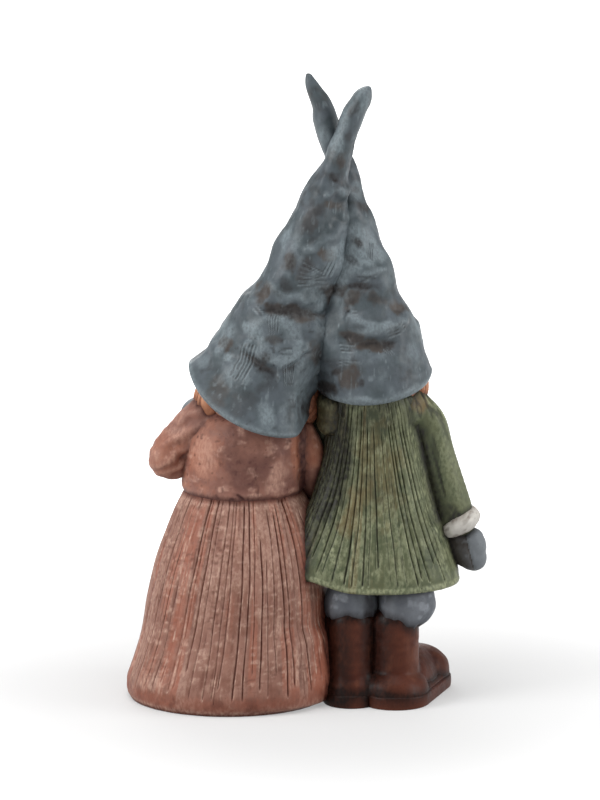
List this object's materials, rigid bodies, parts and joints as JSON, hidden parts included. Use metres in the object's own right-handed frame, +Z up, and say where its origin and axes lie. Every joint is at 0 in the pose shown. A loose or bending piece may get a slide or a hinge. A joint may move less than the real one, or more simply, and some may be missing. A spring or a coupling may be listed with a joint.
{
  "type": "gnome couple figurine",
  "caption": "Cast figurine of a gnome girl in a ribbed dress and a gnome boy in a ribbed coat, side by side, whose tall pointed hats lean together and cross.",
  "frame": {"origin": "on the resting plane, under the middle of the whole figurine's box", "axes": "+Z up, the figures' backs face +Y and their faces look along -Y, the girl is on the +X side and the boy on the -X side"},
  "size_m": [0.1416, 0.0758, 0.2496],
  "materials": {
    "dress_paint": "dusty terracotta paint, dry brushed, on cast resin",
    "hat_paint": "blue-grey paint with brown wash, on cast resin",
    "coat_paint": "olive green paint with dark wash in the grooves, on cast resin",
    "trouser_paint": "light blue-grey paint, on cast resin",
    "boot_paint": "dark red-brown satin paint, on cast resin",
    "mitten_paint": "slate grey paint, on cast resin",
    "cuff_paint": "off-white paint, on cast resin",
    "hair_paint": "ginger paint, on cast resin",
    "skin_paint": "warm skin-coloured paint, on cast resin",
    "eye_paint": "black paint, on cast resin"
  },
  "bodies": {
    "root": {"figurine": "dress_paint"}
  },
  "joints": []
}
